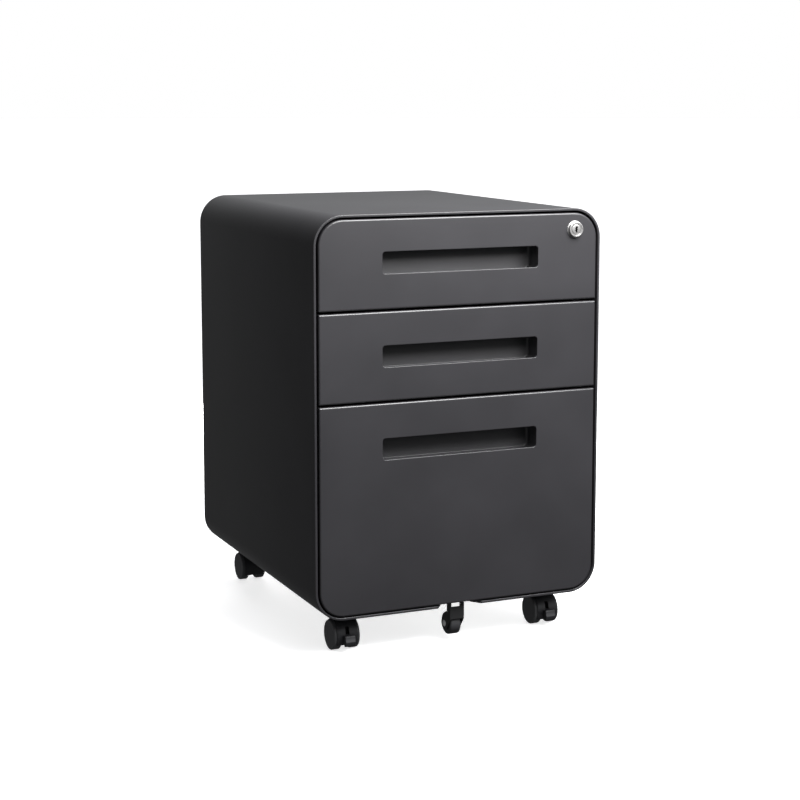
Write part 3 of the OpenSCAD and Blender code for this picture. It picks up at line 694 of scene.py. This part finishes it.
# ---------- Fifth wheel ----------
def make_fork():
    """A folded fork: two lobed cheeks, a front plate with a window above it and a fixing flange."""
    lo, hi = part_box("fifth_wheel_fork")
    wheel_lo, wheel_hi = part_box("fifth_wheel")
    axle = (wheel_lo + wheel_hi) / 2
    half_w, wall, front = FORK_W / 2, 1.8 * MM, RIM_Y + 8 * MM
    strut, plate_low, plate_high = 11 * MM, BASE_Z - 19 * MM, BASE_Z - 2.5 * MM
    lobe = 9 * MM
    side = [(front, hi.z - 0.4 * MM), (front, plate_low)]
    side += arc_points(axle.y, axle.z, lobe, 205, 408, 24)
    side += [(front + strut, plate_low + 8.5 * MM), (front + strut, hi.z - 0.4 * MM)]
    cheeks = [prism("cheek", side, "YZ", x, wall) for x in (-half_w, half_w - wall)]
    plate = [(-half_w, plate_low), (half_w, plate_low), (half_w, plate_high), (-half_w, plate_high)]
    plate = prism("plate", plate, "XZ", front, wall)
    flange = [(lo.x, lo.y + 2 * MM), (lo.x + 3 * MM, lo.y), (hi.x - 3 * MM, lo.y), (hi.x, lo.y + 2 * MM),
              (hi.x, front + strut - 2 * MM), (lo.x, front + strut - 2 * MM)]
    flange = prism("flange", flange, "XY", hi.z - 1.5 * MM, 1.5 * MM)
    fork = unite("fork_folded", cheeks + [plate, flange])
    add_bevel(fork, 0.45 * MM, 3)
    apply_modifiers(fork)
    put(fork, "file_drawer", BLACK_STEEL, "black_steel", "fifth_wheel_fork")

    r, half = (wheel_hi.z - wheel_lo.z) / 2, (wheel_hi.x - wheel_lo.x) / 2
    edge, bore = 2.2 * MM, 3.05 * MM
    profile = [(half, bore), (-half, bore), (-half, r - edge * 1.6), (-half + 0.3 * MM, r - edge)]
    profile += arc_points(-half + edge, r - edge, edge, 172, 90, 7)
    profile += arc_points(half - edge, r - edge, edge, 90, 8, 7)
    profile += [(half - 0.3 * MM, r - edge), (half, r - edge * 1.6)]
    wheel = lathe("fifth_wheel_roller", profile, axle, "X", 72, 28)
    put(wheel, "fifth_wheel", TREAD, "wheel_plastic", "fifth_wheel")

    lo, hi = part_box("fifth_wheel_axle")
    head_r, shank_r, end = (hi.z - lo.z) / 2, 3 * MM, hi.x
    rise = 0.35 * MM
    dome = [(-end, 0), (-end + 0.1 * MM, head_r * 0.4), (-end + rise, head_r * 0.75)]
    dome += [(-half_w - rise, head_r), (-half_w, head_r), (-half_w, shank_r)]
    profile = dome + [(-x, radius) for x, radius in reversed(dome)]
    rivet = lathe("fork_axle_rivet", profile, axle, "X", 48, 40, closed=False)
    put(rivet, "file_drawer", BRIGHT, "zinc_steel", "fifth_wheel_axle")

    lo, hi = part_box("fork_rivets")
    head_r = 3.2 * MM
    base = lo.z + 1.2 * MM
    profile = [(lo.z, 0), (lo.z + 0.1 * MM, 1.4 * MM), (lo.z + 0.45 * MM, 2.6 * MM), (base, head_r)]
    profile += [(base, 2.05 * MM), (hi.z - 0.3 * MM, 2.05 * MM), (hi.z, 1.7 * MM), (hi.z, 0)]
    places = [(x, (lo.y + hi.y) / 2, 0) for x in (lo.x + head_r, hi.x - head_r)]
    rivets = [lathe("rivet", profile, place, "Z", 32, 40, closed=False) for place in places]
    put(join("fork_fixing_rivets", rivets), "file_drawer", BLACK_STEEL, "black_steel", "fork_rivets")


# ---------- Stage, light and camera ----------
# A lobe's direction, the cosines where it starts and is full, and its strength
SKY = (
    ((0, 0, 1), -2.0, -1.0, 0.09),
    ((0, 0, 1), -0.1, 1.0, 0.2),
    ((0.62, -0.75, 0.9), 0.70, 1.0, 2.0),
    ((0.6, 0.8, 0.2), 0.65, 1.0, 0.30),
    ((-1.0, -0.5, 0.1), 0.60, 1.0, 0.3),
)


def make_stage():
    """A wide pale floor, and a dim sky with a few brighter lobes round it."""
    bpy.ops.mesh.primitive_circle_add(vertices=96, radius=40, fill_type="NGON")
    floor = bpy.context.object
    floor.name = "studio_floor"
    mat = bpy.data.materials.new("pale_floor")
    mat.use_nodes = True
    shader = mat.node_tree.nodes["Principled BSDF"]
    shader.inputs["Base Color"].default_value = (0.9, 0.9, 0.9, 1)
    shader.inputs["Roughness"].default_value = 1.0
    shader.inputs["Specular IOR Level"].default_value = 0.0
    shader.inputs["Emission Color"].default_value = (1, 1, 1, 1)
    shader.inputs["Emission Strength"].default_value = 0.7
    floor.data.materials.append(mat)
    floor.visible_diffuse = False
    floor.visible_glossy = False

    world = bpy.data.worlds.new("studio")
    bpy.context.scene.world = world
    world.use_nodes = True
    tree = world.node_tree
    nodes, links = tree.nodes, tree.links
    way = nodes.new("ShaderNodeTexCoord").outputs["Generated"]
    total = None
    for direction, start, end, strength in SKY:
        dot = nodes.new("ShaderNodeVectorMath")
        dot.operation = "DOT_PRODUCT"
        dot.inputs[1].default_value = Vector(direction).normalized()
        links.new(way, dot.inputs[0])
        lobe = nodes.new("ShaderNodeMapRange")
        lobe.interpolation_type = "SMOOTHSTEP"
        lobe.inputs["From Min"].default_value = start
        lobe.inputs["From Max"].default_value = end
        lobe.inputs["To Max"].default_value = strength
        links.new(dot.outputs["Value"], lobe.inputs["Value"])
        if total is None:
            total = lobe.outputs["Result"]
            continue
        add = nodes.new("ShaderNodeMath")
        links.new(total, add.inputs[0])
        links.new(lobe.outputs["Result"], add.inputs[1])
        total = add.outputs["Value"]
    back = nodes["Background"]
    back.inputs["Color"].default_value = (0.97, 0.98, 1.0, 1)
    links.new(total, back.inputs["Strength"])
    white = nodes.new("ShaderNodeBackground")
    white.inputs["Color"].default_value = (1, 1, 1, 1)
    mix = nodes.new("ShaderNodeMixShader")
    links.new(nodes.new("ShaderNodeLightPath").outputs["Is Camera Ray"], mix.inputs["Fac"])
    links.new(back.outputs["Background"], mix.inputs[1])
    links.new(white.outputs["Background"], mix.inputs[2])
    links.new(mix.outputs["Shader"], nodes["World Output"].inputs["Surface"])
    bpy.context.scene.view_settings.view_transform = "Standard"


def soft_box(name, place, target, size, power, mirrored=True):
    """A square studio light that faces the target. A fill light isn't mirrored in the glossy faces."""
    data = bpy.data.lights.new(name, "AREA")
    data.shape = "SQUARE"
    data.size = size
    data.energy = power
    light = bpy.data.objects.new(name, data)
    light.location = place
    light.visible_camera = False
    light.visible_glossy = mirrored
    light.rotation_mode = "QUATERNION"
    light.rotation_quaternion = (Vector(target) - Vector(place)).to_track_quat("-Z", "Y")
    bpy.context.scene.collection.objects.link(light)


def make_camera():
    """The viewpoint stands in front, to the left and above, turned a little right and down."""
    yaw, pitch = math.radians(23.54), math.radians(7.92)
    data = bpy.data.cameras.new("camera")
    data.sensor_width = 36
    data.lens = 81.2
    data.shift_y = -0.075
    data.clip_start, data.clip_end = 0.1, 100
    camera = bpy.data.objects.new("camera", data)
    camera.location = (-0.954, RIM_Y - 2.000, BASE_Z + 0.648)
    ahead = Vector((math.sin(yaw) * math.cos(pitch), math.cos(yaw) * math.cos(pitch), -math.sin(pitch)))
    camera.rotation_mode = "QUATERNION"
    camera.rotation_quaternion = ahead.to_track_quat("-Z", "Y")
    bpy.context.scene.collection.objects.link(camera)
    bpy.context.scene.camera = camera


def carry_the_rest():
    """Finishes the CAD nodes whose own shape is shown."""
    finishes = {"_liner": POWDER_IN, "_tray": POWDER_IN, "hanging_rails": BLACK_STEEL}
    for name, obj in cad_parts.items():
        if obj.hide_render:
            continue
        finish = next((mat for end, mat in finishes.items() if name.endswith(end)), ZINC)
        carry(name, finish)


make_shell()
put(make_back_panel(), "cabinet", POWDER, "powder_coat", "back_panel")
make_drawers()
make_lock()
make_casters()
make_fork()
carry_the_rest()
make_stage()
soft_box("front_softbox", (0.25, -0.75, 1.05), (0, -0.22, 0.40), 0.7, 42)
soft_box("rear_softbox", (0.3, 1.6, 0.25), (0, 0.2, 0.25), 0.7, 28, mirrored=False)
soft_box("right_softbox", (1.7, 0.7, 0.25), (0.2, 0.0, 0.25), 0.6, 40, mirrored=False)
make_camera()
